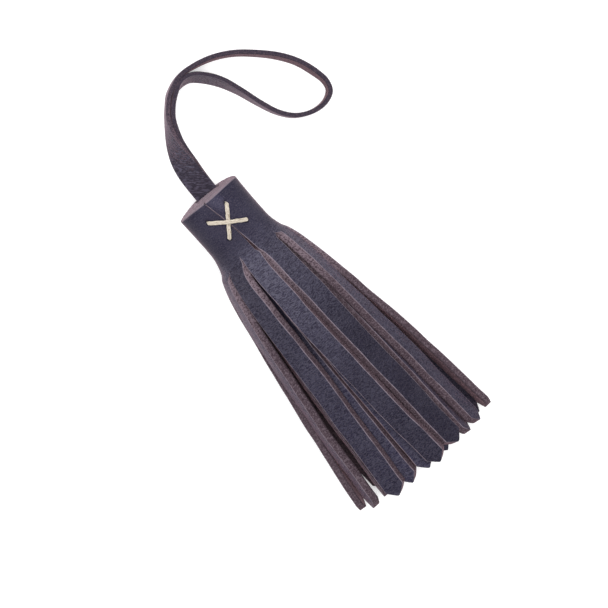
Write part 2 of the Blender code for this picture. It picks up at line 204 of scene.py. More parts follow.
# The cross stitch: where each arm's ends enter the leather, x across and reach from the end
STITCH_COLUMNS = ("x_from", "reach_from", "x_to", "reach_to")
STITCH_ARMS = (
    (-4.9, 4.6, 5.3, 11.9),
    (3.7, 3.3, -3.0, 13.0),
)
THREAD_PLIES = 5
THREAD_TURN = 15.0 * MM
THREAD_DENT = 0.16 * MM
HOLE_DEPTH = 1.0 * MM
HOLE_RADIUS = 0.62 * MM
ARM_STATIONS = 64

# The camera: its tilt from straight down towards the head, and the turn of its picture
CAMERA_TARGET = Vector((1.91, -44.1, 10.0)) * MM
CAMERA_DISTANCE = 0.9
CAMERA_TILT = math.radians(10.4)
CAMERA_TURN = math.radians(39.93)
CAMERA_LENS = 177.6

# The soft lights' size, place and aim, and the table top
OVERHEAD_LIGHT = (0.6, (0.0, 0.17, 0.8), (0.0, 0.0, 0.0))
SIDE_LIGHT = (0.5, (0.35, 0.45, 0.5), (0.0, 0.0, 0.01))
TABLE_HALF = 1.5
TABLE_DROP = 0.05 * MM


def rows(table, columns):
    """Each row of a table as a dictionary of its named columns."""
    return [dict(zip(columns, row)) for row in table]


def smooth(t):
    """0 to 1 with level ends, for a number or an array."""
    t = np.clip(t, 0.0, 1.0)
    return t * t * (3 - 2 * t)


def wander(along, length, seed):
    """A smooth wander between about -1 and 1 along an array of places, its own for each seed."""
    phases = np.random.default_rng(seed).uniform(0, 2 * math.pi, 4)
    rates = (1.0, 1.7, 2.9, 4.3)
    weights = (0.5, 0.28, 0.14, 0.08)
    waves = zip(weights, rates, phases)
    return sum(w * np.sin(2 * math.pi * rate * along / length + p) for w, rate, p in waves)


def roll_points(angle, radius, reach):
    """Points at those angles and radii from the roll's axis, as an array."""
    lean = HEAD_LEAN * smooth(reach / HEAD_LENGTH)
    spots = np.broadcast_arrays(
        radius * np.sin(angle) + lean, -reach, AXIS_HEIGHT + radius * np.cos(angle)
    )
    return np.stack(spots, axis=-1)


def head_radius(reach):
    """The head's outer radius: a slight waist, then the flare down to the slits."""
    waist = WAIST * np.clip(1 - reach / WAIST_REACH, 0, None) ** 2
    rise = np.clip((reach - FLARE_START) / (HEAD_LENGTH - FLARE_START), 0.0, None)
    return HEAD_RADIUS + waist + FLARE * rise**2


def seam_angle(reach):
    """The seam leans across the head as it runs down to the slits."""
    left_to_run = 1 - np.clip(reach / HEAD_LENGTH, 0.0, 1.0)
    return SEAM_AT_SLITS + (SEAM_AT_END - SEAM_AT_SLITS) * left_to_run**1.5


def rim_set_back(angle):
    """How far the rolled end's rim stands back at each angle: flat on top, then set back, more so
    at the lower left."""
    down = smooth(1 - np.cos(angle))
    slant = RIM_SLANT * np.sin(angle) * np.clip(-np.cos(angle), 0, None)
    return RIM_SET_BACK * down - RIM_FORWARD * (1 - down) - slant


def lap(turn):
    """How far the sheet stands off the plain roll after that share of a turn from the seam."""
    return LAP_STEP * (0.5 - turn)


def cut_template(face_steps, edge_steps=4, under_steps=5, arris_steps=3):
    """The round of a strip's cross-section as columns: share across, share of the arris across,
    share of the height, share of the arris upwards, and skin, which is 1 on the grain side, 0 on a
    cut edge and -1 on the flesh side. It starts at the grain side's left.
    """
    bends = [(k / arris_steps, math.pi / 2 * k / arris_steps) for k in range(1, arris_steps + 1)]
    points = [(f, 0.0, 1.0, 1.0, 1.0) for f in np.linspace(-1, 1, face_steps + 1)]
    points += [(1.0, math.sin(b), 1.0, math.cos(b), 1.0 - k) for k, b in bends]
    points += [(1.0, 1.0, g, 0.0, 0.0) for g in np.linspace(1, -1, edge_steps + 1)[1:]]
    points += [(1.0, math.cos(b), -1.0, -math.sin(b), -k) for k, b in bends]
    points += [(f, 0.0, -1.0, -1.0, -1.0) for f in np.linspace(1, -1, under_steps + 1)[1:]]
    points += [(-1.0, -math.sin(b), -1.0, -math.cos(b), -1.0 + k) for k, b in bends]
    points += [(-1.0, -1.0, g, 0.0, 0.0) for g in np.linspace(-1, 1, edge_steps + 1)[1:]]
    points += [(-1.0, -math.cos(b), 1.0, math.sin(b), k) for k, b in bends[:-1]]
    return np.array(points)


def blend(left, right, share):
    """Values between each row's left and right ones, at shares across."""
    return left[:, None] + (right - left)[:, None] * share


def cut_round(template, half_width, thickness, arris_left, arris_right, spread=CUT_SPREAD):
    """Across and height of every template point in every row of half widths and arris radii."""
    share, arris_across, level, arris_up = template[:, :4].T
    arris = blend(arris_left, arris_right, (share + 1) / 2)
    across = share * (half_width[:, None] - arris) + arris_across * arris
    height = level * (thickness / 2 - arris) + arris_up * arris
    across += share * spread * (0.5 - height / thickness) * np.minimum(half_width / MM, 1)[:, None]
    return across, height


def strip_middles(strip, reach, seed):
    """The middle of a strip's leather at each reach, its turn and its half width."""
    root = math.radians(strip["root"])
    share = (strip["root"] - math.degrees(SEAM_AT_SLITS)) / 360 % 1.0
    in_head = np.minimum(reach, HEAD_LENGTH)
    start = roll_points(root, head_radius(in_head) + lap(share) - WRAP_DEPTH[strip["wrap"]], reach)
    t = np.clip((reach - HEAD_LENGTH) / (SHEET_HEIGHT - HEAD_LENGTH), 0.0, None)
    past = np.clip(reach - HEAD_LENGTH, 0.0, None)
    hangs_free = strip["settle"] > HANGS_FREE_FROM
    settled = t if hangs_free else smooth(past / (strip["settle"] * MM))
    step_out = SHOULDER * (1 - np.exp(-past / SHOULDER_LENGTH)) * (1 - t)
    bow = 4 * t * (1 - t)
    drifting = smooth(past / DRIFT_START)
    drift = DRIFT * drifting
    x = start[:, 0] + (strip["tip_x"] * MM - start[:, 0]) * t
    x += strip["bow_x"] * MM * bow + step_out * (math.sin(root) + strip["step_x"] * MM / SHOULDER)
    z = start[:, 2] + (strip["tip_z"] * MM - start[:, 2]) * settled
    z += strip["bow_z"] * MM * bow + step_out * max(0.0, math.cos(root))
    if hangs_free:
        x += drift * wander(reach, 34 * MM, seed)
        z += 0.6 * drift * wander(reach, 27 * MM, seed + 50)
    eased = smooth(1.6 * t) if hangs_free else smooth(settled)
    turn = np.radians(strip["root"] + (strip["tip_turn"] - strip["root"]) * eased)
    turn += math.radians(strip["lean"]) * past / LEAN_REACH * np.exp(1 - past / LEAN_REACH)
    if hangs_free:
        turn += math.radians(2.0) * drifting * wander(reach, 40 * MM, seed + 90)
    drawn_in = 0.07 * np.exp(-past / (9 * MM))
    half_width = strip["width"] * MM / 2 * (1 - drawn_in + 0.012 * wander(reach, 15 * MM, seed + 130))
    return np.stack([x, start[:, 1], z], axis=1), turn, half_width


def strip_tones(strip, reach):
    """How light a strip's grain is at each reach, as a column."""
    towards_tip = smooth((reach - 30 * MM) / (45 * MM))[:, None]
    return strip["tone"] + (strip["tip_tone"] - strip["tone"]) * towards_tip


def tip_share(reach, end):
    """How much of its width a strip keeps on the way to its point at the given reach."""
    to_go = (end - reach) / POINT_LENGTH
    return np.clip(np.where(to_go < 1, 0.07 + 0.93 * to_go**0.9, 1.0), 0.07, 1.0)


def strip_reaches(start, end):
    """Reaches down one strip, closer where it leaves the head and at its point."""
    body = end - POINT_LENGTH
    near = np.arange(start, NEAR_END, NEAR_ROW)
    far = np.linspace(NEAR_END, body, FAR_ROWS)
    point = body + (end - body) * np.array([0.06, 0.2, 0.4, 0.6, 0.8, 0.92, 1.0])
    return np.concatenate([near, far, point])


def loft(grid, closed=True, keep=None):
    """Quads between neighbouring rows of an (rows, columns) block of points. keep says which."""
    count, columns = grid.shape[:2]
    quads = []
    for row in range(count - 1):
        for k in range(columns if closed else columns - 1):
            if keep is not None and not keep[row, k]:
                continue
            after = (k + 1) % columns
            quads.append((row * columns + k, row * columns + after,
                          (row + 1) * columns + after, (row + 1) * columns + k))
    return quads


def tube(grid):
    """The quads of a closed loft and a face over each of its ends."""
    count, columns = grid.shape[:2]
    last = (count - 1) * columns
    return loft(grid) + [tuple(range(columns)), tuple(range(last, last + columns))]


class Pelt:
    """Gathers blocks of points with their place on the flat leather and their skin, as one mesh."""

    def __init__(self):
        self.points, self.places, self.skins, self.tones, self.faces = [], [], [], [], []
        self.count = 0

    def block(self, points, places, skins, faces, tone=0.5):
        """Adds one (rows, columns) block and its faces."""
        self.points.append(points.reshape(-1, 3))
        self.places.append(np.broadcast_to(places, points.shape).reshape(-1, 3))
        self.skins.append(np.broadcast_to(skins, points.shape[:-1]).reshape(-1))
        self.tones.append(np.broadcast_to(tone, points.shape[:-1]).reshape(-1))
        self.faces += [tuple(self.count + v for v in face) for face in faces]
        self.count += points.shape[0] * points.shape[1]

    def object(self, name, material, weld):
        """The mesh object, welded, with smooth faces and its attributes."""
        mesh = bpy.data.meshes.new(name)
        points = np.concatenate(self.points) + np.array(HEAD_END)
        mesh.from_pydata(points.tolist(), [], self.faces)
        place = mesh.attributes.new("place", "FLOAT_VECTOR", "POINT")
        place.data.foreach_set("vector", np.concatenate(self.places).astype(np.float32).ravel())
        for label, values in (("skin", self.skins), ("tone", self.tones)):
            attribute = mesh.attributes.new(label, "FLOAT", "POINT")
            attribute.data.foreach_set("value", np.concatenate(values).astype(np.float32))
        shape = bmesh.new()
        shape.from_mesh(mesh)
        bmesh.ops.delete(shape, geom=[v for v in shape.verts if not v.link_faces], context="VERTS")
        bmesh.ops.remove_doubles(shape, verts=shape.verts, dist=weld)
        bmesh.ops.recalc_face_normals(shape, faces=shape.faces)
        shape.to_mesh(mesh)
        shape.free()
        mesh.shade_smooth()
        mesh.set_sharp_from_angle(angle=math.radians(52))
        mesh.materials.append(material)
        obj = bpy.data.objects.new(name, mesh)
        bpy.context.scene.collection.objects.link(obj)
        return obj


def stitch_dents(points):
    """How deep the thread and its holes press into the head at each point."""
    depth = np.zeros(points.shape[:-1])
    flat = np.stack([points[..., 0], -points[..., 1]], axis=-1)
    on_top = points[..., 2] > AXIS_HEIGHT
    for arm in rows(STITCH_ARMS, STITCH_COLUMNS):
        start = np.array([arm["x_from"], arm["reach_from"]]) * MM
        end = np.array([arm["x_to"], arm["reach_to"]]) * MM
        run = end - start
        share = np.clip(((flat - start) @ run) / (run @ run), 0, 1)
        off = np.linalg.norm(flat - (start + share[..., None] * run), axis=-1)
        depth += THREAD_DENT * np.exp(-((off / (0.9 * MM)) ** 2))
        for hole in (start + 0.03 * run, end - 0.03 * run):
            off = np.linalg.norm(flat - hole, axis=-1)
            depth += HOLE_DEPTH * np.exp(-((off / HOLE_RADIUS) ** 4))
    return np.where(on_top, depth, 0.0)


def head_unevenness(angle, reach):
    """Slow hand-made unevenness of the head's outside, and the raised fold beside the seam."""
    bumps = np.zeros(np.broadcast(angle, reach).shape)
    angle, reach = np.broadcast_arrays(angle, reach)
    for index in np.ndindex(bumps.shape):
        place = (math.sin(angle[index]) * 1.6, math.cos(angle[index]) * 1.6, reach[index] * 130)
        bumps[index] = noise.noise(place)
    off_seam = np.degrees(angle - seam_angle(reach)) % 360
    fold = np.exp(-(((off_seam - 13) / 11) ** 2)) * np.exp(-(((reach / MM - 2.6) / 3.2) ** 2))
    return (0.16 * bumps + 0.6 * fold) * MM


def end_relief(angle, share, radius, turn):
    """How far the rolled end stands out: its dome, the groove between windings, the strap's slot."""
    dome = END_SWELL * np.clip(1 - share**2, 0, None) ** 1.1
    winding = ((1 - share) * radius / (2.3 * MM) - turn) % 1.0
    off_groove = np.minimum(winding, 1 - winding) * 2.3 * MM
    groove = WINDING_GROOVE * np.exp(-((off_groove / (0.28 * MM)) ** 2)) * smooth((1 - share) * 12)
    x = share * radius * np.sin(angle) - 0.8 * MM
    z = share * radius * np.cos(angle) + AXIS_HEIGHT - 13.0 * MM
    outside = np.maximum(np.abs(x) - STRAP_WIDTH / 2 - 0.15 * MM, np.abs(z) - STRAP_THICKNESS - 0.3 * MM)
    slot = 1.6 * MM * smooth(1 - outside / (0.55 * MM))
    return dome - groove - slot


def roll_outer_wrap(pelt, sizes):
    """The outside of the roll: the rolled end, the head and the outer strips in one skin."""
    strips = [s for s in rows(STRIPS, STRIP_COLUMNS) if s["wrap"] == "outer"]
    roots = [s["root"] for s in strips]
    middles = [(a + b) / 2 for a, b in zip(roots, roots[1:])]
    seam = math.degrees(SEAM_AT_SLITS)
    borders = [seam, *middles, seam + 360]
    slits = [s["slit"] * MM for s in strips] + [strips[0]["slit"] * MM]
    template = cut_template(16)
    face = template[:, 2] + template[:, 3] > 1.99
    last_face = int(face.sum()) - 1
    sheet_x = 0.0
    for k, strip in enumerate(strips):
        end = SHEET_HEIGHT + strip["longer"] * MM
        in_roll = np.arange(RIM_ROUND, FIRST_SLIT, HEAD_ROW)
        reach = np.concatenate([in_roll, strip_reaches(FIRST_SLIT, end)])
        middle, turn, half_width = strip_middles(strip, reach, 10 + k)
        half_width = half_width * tip_share(reach, end)
        open_left = smooth((reach - slits[k]) / OPENING_LENGTH)
        open_right = smooth((reach - slits[k + 1]) / OPENING_LENGTH)
        arris = sizes.arris * tip_share(reach, end)
        left = arris * smooth((reach - slits[k]) / (1.2 * MM))
        right = arris * smooth((reach - slits[k + 1]) / (1.2 * MM))
        opened = smooth((reach - SEAM_GAP_START) / (HEAD_LENGTH - SEAM_GAP_START))
        seam_gap = SEAM_GAP_CLOSED + (SEAM_GAP - SEAM_GAP_CLOSED) * opened
        if k == 0:
            left = np.maximum(left, 0.16 * MM)
        if k == len(strips) - 1:
            right = np.maximum(right, 0.1 * MM)
        across, height = cut_round(template, half_width, sizes.leather, left, right)
        side = (across / half_width[:, None] + 1) / 2
        part_turn = (borders[k] + (borders[k + 1] - borders[k]) * side - seam) / 360
        angle = seam_angle(reach)[:, None] + part_turn * 2 * math.pi
        shift = 0.3 * (1 - side) if k == 0 else -0.7 * side if k == len(strips) - 1 else 0 * side
        angle = angle + shift * (seam_gap / HEAD_RADIUS)[:, None]
        depth = sizes.leather / 2 - height
        radius = head_radius(np.minimum(reach, 24 * MM))[:, None] + lap(part_turn) - depth
        flat_reach = reach[:, None] + 0 * side
        in_head = 1 - smooth((reach - FIRST_SLIT) / (4 * MM))[:, None]
        radius = radius + in_head * head_unevenness(angle, flat_reach)
        rolled = roll_points(angle, radius, flat_reach)
        dent = stitch_dents(rolled) * np.clip(1 - depth / (1.2 * MM), 0, 1)
        set_back = rim_set_back(angle) * (1 - smooth(reach / (6 * MM)))[:, None]
        rolled = roll_points(angle, radius - dent, flat_reach + set_back)
        cup = sizes.cupping * (across / (strip["width"] * MM / 2)) ** 2
        free = free_points(middle, turn, across, height - cup)
        opening = blend(open_left, open_right, side)[..., None]
        points = rolled * (1 - opening) + free * opening
        places = np.stack([sheet_x + across, flat_reach, height], axis=-1)
        keep = np.ones((len(reach) - 1, len(template)), bool)
        closed_rows = reach[:-1] < FIRST_SLIT - 0.5 * HEAD_ROW
        keep[closed_rows, last_face:] = False
        if k == 0:
            keep[closed_rows, len(template) - 8 :] = True
        if k == len(strips) - 1:
            keep[closed_rows, last_face : last_face + 7] = True
        faces = loft(points, keep=keep)
        last = (len(reach) - 1) * len(template)
        faces.append(tuple(range(last, last + len(template))))
        cut_left = smooth((reach - slits[k] + 0.1 * MM) / (0.8 * MM))
        cut_right = smooth((reach - slits[k + 1] + 0.1 * MM) / (0.8 * MM))
        cut = blend(cut_left, cut_right, template[:, 0] > 0)
        if k == 0:
            cut = np.where(template[:, 0] < 0, 1.0, cut)
        if k == len(strips) - 1:
            cut = np.where(template[:, 0] > 0, 1.0, cut)
        skins = 1 - (1 - template[:, 4]) * cut
        in_fringe = smooth((reach - 15 * MM) / (8 * MM))[:, None]
        # Painted highlight: the raised fold beside the seam near the rolled end is made paler through
        # the head's tone.
        off_seam = np.degrees(angle - seam_angle(reach)[:, None]) % 360
        fold_highlight = np.exp(-(((off_seam - 15) / 9) ** 2)) * np.exp(-(((flat_reach / MM - 2.2) / 2.4) ** 2))
        tones = strip_tones(strip, reach) * in_fringe + (0.35 + 1.7 * fold_highlight) * (1 - in_fringe)
        pelt.block(points, places, skins, faces, tones)
        span = np.radians([borders[k] - seam, borders[k + 1] - seam]) + seam_angle(reach[0])
        roll_end_wedge(pelt, angle[0, : last_face + 1], radius[0, : last_face + 1], span)
        sheet_x += strip["width"] * MM


def roll_end_wedge(pelt, rim_angle, radius, span):
    """One strip's share of the rolled end, from the rim to the middle, closing up inside the rim."""
    whole = np.linspace(*span, len(rim_angle))
    turn = (whole - seam_angle(RIM_ROUND)) / (2 * math.pi)
    bends = np.linspace(0, math.pi / 2, 5)
    rim_radius = radius[None, :] - RIM_ROUND * (1 - np.cos(bends))[:, None]
    rim_reach = RIM_ROUND * (1 - np.sin(bends))[:, None] + 0 * rim_radius
    shares = np.linspace(1.0, 0.03, END_ROWS)[1:, None] * (1 - RIM_ROUND / radius)
    angle = whole + (rim_angle - whole) * smooth((shares - 0.84) / 0.1)
    mean_radius = HEAD_RADIUS + WAIST
    flat_radius = shares * (mean_radius + (radius - mean_radius) * smooth((shares - 0.72) / 0.25))
    relief = end_relief(angle, shares, mean_radius, turn)
    for index in np.ndindex(relief.shape):
        r, bearing = flat_radius[index], angle[index]
        spot = (r * math.sin(bearing) * 900, r * math.cos(bearing) * 900, 7)
        relief[index] += 0.13 * MM * noise.noise(spot)
    all_radius = np.concatenate([rim_radius, flat_radius])
    all_reach = np.concatenate([rim_reach, -relief])
    all_angle = np.concatenate([rim_angle + 0 * rim_radius, angle])
    all_reach += rim_set_back(all_angle) * np.minimum(all_radius / radius, 1) ** 2
    points = roll_points(all_angle, all_radius, all_reach)
    skins = np.concatenate([np.linspace(1, 2, 5), np.full(len(shares), 2.0)])[:, None]
    places = points + np.array([0.2, 0.0, 0.0])
    pelt.block(points, places, skins, loft(points, closed=False))


def free_points(middle, turn, across, height):
    """Points of a free strip's cross-sections, from its middle line and turn."""
    sideways = np.stack([np.cos(turn), 0 * turn, -np.sin(turn)], axis=1)
    outwards = np.stack([np.sin(turn), 0 * turn, np.cos(turn)], axis=1)
    across, height = across[..., None], height[..., None]
    return middle[:, None] + sideways[:, None] * across + outwards[:, None] * height


def hang_inner_strips(pelt, sizes):
    """The strips of the two inner wraps, each from inside the head to its point."""
    template = cut_template(9, edge_steps=3, under_steps=4, arris_steps=2)
    strips = [s for s in rows(STRIPS, STRIP_COLUMNS) if s["wrap"] != "outer"]
    for k, strip in enumerate(strips):
        end = SHEET_HEIGHT + strip["longer"] * MM
        body = np.linspace(INNER_START, end - POINT_LENGTH, 58)
        point = end - POINT_LENGTH * np.array([0.9, 0.7, 0.5, 0.3, 0.12, 0.0])
        reach = np.concatenate([body, point])
        middle, turn, half_width = strip_middles(strip, reach, 40 + k)
        half_width = half_width * tip_share(reach, end)
        arris = sizes.arris * tip_share(reach, end)
        across, height = cut_round(template, half_width, sizes.leather, arris, arris)
        cup = sizes.cupping * (across / (strip["width"] * MM / 2)) ** 2
        points = free_points(middle, turn, across, height - cup)
        places = np.stack([across + 0.03 * (k + 4), reach[:, None] + 0 * across, height], axis=-1)
        pelt.block(points, places, template[:, 4], tube(points), strip_tones(strip, reach))


def fill_roll(pelt):
    """The wound leather inside the head, seen only down the slits."""
    angle = np.linspace(0, 2 * math.pi, 49)[:-1]
    reach = np.array([0.6, 6.0, 12.0, 16.0, 18.6, 20.2, 20.6]) * MM
    inset = np.array([2.3, 2.3, 2.3, 2.3, 2.35, 2.9, 5.0]) * MM
    radius = head_radius(reach) - inset - LAP_STEP / 2
    points = roll_points(angle[None, :], radius[:, None], reach[:, None])
    pelt.block(points, points, -1.0, tube(points))


def lengths_along(path):
    """The length from a path's start to each of its points."""
    return np.concatenate([[0], np.cumsum(np.linalg.norm(np.diff(path[:, :3], axis=0), axis=1))])


def between(t, t0, t1, p0, p1):
    """The point at t on the line with p0 at t0 and p1 at t1."""
    return (t1 - t) / (t1 - t0) * p0 + (t - t0) / (t1 - t0) * p1


def through(values, count):
    """Values read at even steps of a smooth curve through the rows of an array."""
    values = np.array(values, float)
    padded = np.vstack([2 * values[0] - values[1], values, 2 * values[-1] - values[-2]])
    steps = np.linalg.norm(np.diff(padded[:, :3], axis=0), axis=1) ** 0.5
    knots = np.concatenate([[0], np.cumsum(steps)])
    fine = []
    for k in range(1, len(padded) - 2):
        t0, t1, t2, t3 = knots[k - 1 : k + 3]
        p0, p1, p2, p3 = padded[k - 1 : k + 3]
        for t in np.linspace(t1, t2, 12, endpoint=False):
            before = between(t, t0, t1, p0, p1)
            here = between(t, t1, t2, p1, p2)
            after = between(t, t2, t3, p2, p3)
            ends = between(t, t0, t2, before, here), between(t, t1, t3, here, after)
            fine.append(between(t, t1, t2, *ends))
    fine.append(padded[-2])
    fine = np.array(fine)
    along = lengths_along(fine)
    at = np.linspace(0, along[-1], count)
    return np.stack([np.interp(at, along, fine[:, j]) for j in range(fine.shape[1])], axis=1)


def strap_frames(path):
    """At each point of a path with its roll: the width and grain directions of the strap."""
    tangents = np.gradient(path[:, :3], axis=0)
    along = tangents / np.linalg.norm(tangents, axis=1)[:, None]
    right = np.cross(along, (0.0, 0.0, 1.0))
    right /= np.linalg.norm(right, axis=1)[:, None]
    up = np.cross(right, along)
    roll = np.radians(path[:, 3])[:, None]
    return right * np.cos(roll) + up * np.sin(roll), up * np.cos(roll) - right * np.sin(roll)


def strap_path():
    """The middle of the strap from one end to the other: x, y, z and roll."""
    offset = (STRAP_THICKNESS + STRAP_GAP) / 2
    stem = [(r["x"] * MM, r["y"] * MM, r["z"] * MM, r["roll"]) for r in rows(STEM, STEM_COLUMNS)]
    stem = through(stem, 12)
    width, grain = strap_frames(stem)
    turned = np.sin(np.radians(stem[:, 3]))
    tuck = (STRAP_TUCK * turned * smooth((27 * MM - stem[:, 1]) / (12 * MM)))[:, None]
    out = np.column_stack([stem[:, :3] + grain * offset, stem[:, 3]])
    back = np.column_stack([stem[:, :3] - grain * offset - width * tuck, 180 - stem[:, 3]])[::-1]
    loop = []
    for row in rows(LOOP, LOOP_COLUMNS):
        roll = math.radians(row["roll"])
        half = STRAP_WIDTH / 2 * math.sin(roll) + STRAP_THICKNESS / 2 * abs(math.cos(roll))
        height = FLOOR_CLEARANCE + row["lift"] * MM + half
        loop.append((row["x"] * MM, row["y"] * MM, height, row["roll"]))
    return through(np.vstack([out, loop, back]), STRAP_STATIONS)


def fold_strap(pelt, sizes):
    """The strap, one flat strip with softened arrises and a few soft creases."""
    path = strap_path()
    along = lengths_along(path)
    width, grain = strap_frames(path)
    half = STRAP_WIDTH / 2 * (1 + 0.01 * wander(along, 22 * MM, 3))
    arris = np.full(len(path), sizes.arris * 0.9)
    template = cut_template(12, edge_steps=3, under_steps=8)
    across, height = cut_round(template, half, STRAP_THICKNESS, arris, arris, 0.0)
    at_head = smooth(1 - np.abs(along - 15 * MM) / (13 * MM))[:, None]
    slanted = 2 * math.pi * (along[:, None] - 0.35 * across) / (2.3 * MM)
    crease = 0.13 * MM * at_head * np.sin(slanted + 3 * np.sin(across * 900))
    height = height + crease * (template[:, 4] > 0.5) * (1 - (across / half[:, None]) ** 2)
    points = path[:, None, :3] + width[:, None] * across[..., None] + grain[:, None] * height[..., None]
    places = np.stack([across, along[:, None] + 0 * across, height], axis=-1)
    pelt.block(points, places, template[:, 4], tube(points))


def thread_middle(arm, on_top, share, sizes):
    """The thread's middle on the head at a share of one arm, with its outward direction."""
    x = (arm["x_from"] + (arm["x_to"] - arm["x_from"]) * share) * MM
    reach = (arm["reach_from"] + (arm["reach_to"] - arm["reach_from"]) * share) * MM
    surface = head_radius(reach) + LAP_STEP / 2
    angle = np.arcsin(x / surface)
    into_hole = np.clip(1 - np.minimum(share, 1 - share) / 0.07, 0, 1) ** 2
    crossing = (0.42 if on_top else 0.0) * np.exp(-(((share - 0.5) / 0.16) ** 2))
    height = surface + sizes.thread * (0.32 + crossing - into_hole)
    out = np.stack([np.sin(angle), 0 * angle, np.cos(angle)], axis=-1)
    return roll_points(angle, height, reach), out


def sew_cross_stitch(pelt, sizes):
    """Both arms of the waxed thread, each of loosely twisted plies."""
    share = np.linspace(0, 1, ARM_STATIONS)
    ply = sizes.thread * 0.2
    around = np.linspace(0, 2 * math.pi, 9)[:-1]
    for number, arm in enumerate(rows(STITCH_ARMS, STITCH_COLUMNS)):
        middle, out = thread_middle(arm, number == 0, share, sizes)
        along = np.gradient(middle, axis=0)
        lengths = np.linalg.norm(along, axis=1)
        along /= lengths[:, None]
        length = np.cumsum(lengths)
        across = np.cross(along, out)
        for strand in range(THREAD_PLIES):
            twist = 2 * math.pi * (strand / THREAD_PLIES + length / THREAD_TURN)
            twist += 0.3 * wander(length, 5 * MM, strand)
            offset = across * (np.cos(twist) * 0.5 * sizes.thread * 0.62)[:, None]
            offset += out * (np.sin(twist) * 0.5 * sizes.thread * 0.34)[:, None]
            thick = ply * (1 + 0.08 * wander(length, 3 * MM, 7 * strand + number))
            ring = across[:, None] * np.cos(around)[:, None] + out[:, None] * np.sin(around)[:, None]
            points = (middle + offset)[:, None] + ring * thick[:, None, None]
            number_off = np.array([[0.01 * (strand + THREAD_PLIES * number)]])
            flat = np.broadcast_arrays(around[None, :] * ply, length[:, None], number_off)
            pelt.block(points, np.stack(flat, axis=-1), 1.0, tube(points))


class Wire:
    """One output socket. Sums and products of wires and numbers add Math nodes."""

    def __init__(self, graph, socket):
        self.graph = graph
        self.socket = socket

    def math(self, operation, first, second):
        return self.graph.node("ShaderNodeMath", {"operation": operation}, {0: first, 1: second})

    def __add__(self, other):
        return self.math("ADD", self, other)

    def __sub__(self, other):
        return self.math("SUBTRACT", self, other)

    def __mul__(self, other):
        return self.math("MULTIPLY", self, other)

    def __radd__(self, other):
        return self.math("ADD", other, self)

    def __rsub__(self, other):
        return self.math("SUBTRACT", other, self)

    def __rmul__(self, other):
        return self.math("MULTIPLY", other, self)


class Graph:
    """The nodes of one material."""

    def __init__(self, name):
        self.material = bpy.data.materials.new(name)
        self.material.use_nodes = True
        self.tree = self.material.node_tree
        self.surface = self.tree.nodes["Principled BSDF"]

    def node(self, kind, settings=None, inputs=None, output=0):
        """A node of that type, its settings first, then its sockets; returns one of its outputs."""
        made = self.tree.nodes.new(kind)
        for name, value in (settings or {}).items():
            setattr(made, name, value)
        for name, value in (inputs or {}).items():
            self.feed(made.inputs[name], value)
        return Wire(self, made.outputs[output])

    def feed(self, socket, value):
        """Links a wire to a socket, or sets the socket's own value."""
        if isinstance(value, Wire):
            self.tree.links.new(value.socket, socket)
        elif isinstance(value, tuple) and len(value) == 3 and socket.type == "RGBA":
            socket.default_value = (*value, 1.0)
        else:
            socket.default_value = value

    def set_surface(self, **values):
        """Sets or links sockets of the surface's own shader."""
        for name, value in values.items():
            self.feed(self.surface.inputs[name.replace("_", " ").title().replace("Ior", "IOR")], value)

    def attribute(self, name, output):
        return self.node("ShaderNodeAttribute", {"attribute_name": name}, output=output)

    def range(self, value, low, high, to_low=0.0, to_high=1.0):
        """A value carried smoothly from one range to another."""
        limits = {"From Min": low, "From Max": high, "To Min": to_low, "To Max": to_high}
        return self.node("ShaderNodeMapRange", {"interpolation_type": "SMOOTHSTEP"},
                         {"Value": value, **limits})

    def mix(self, factor, first, second):
        """One colour laid over another."""
        sockets = {0: factor, 6: first, 7: second}
        return self.node("ShaderNodeMix", {"data_type": "RGBA"}, sockets, output=2)

    def stretched(self, place, scale):
        """A place scaled along each of its axes."""
        return self.node("ShaderNodeVectorMath", {"operation": "MULTIPLY"}, {0: place, 1: scale})

    def lines(self, place, scale):
        """Thin winding lines, 0 along each line and 1 between them."""
        middle = self.noise(place, scale, detail=2.0, roughness=0.5) - 0.5
        return self.range(self.node("ShaderNodeMath", {"operation": "ABSOLUTE"}, {0: middle}), 0.0, 0.11)

    def noise(self, place, scale, detail=3.0, roughness=0.55):
        """Soft noise around 0.5."""
        sockets = {"Vector": place, "Scale": scale, "Detail": detail, "Roughness": roughness}
        return self.node("ShaderNodeTexNoise", None, sockets)

    def split(self, place, axis):
        """One coordinate of a place, 0 to 2."""
        return self.node("ShaderNodeSeparateXYZ", None, {0: place}, output=axis)


def shade(colour, share):
    """A colour made darker or lighter by a share."""
    return tuple(c * share for c in colour)


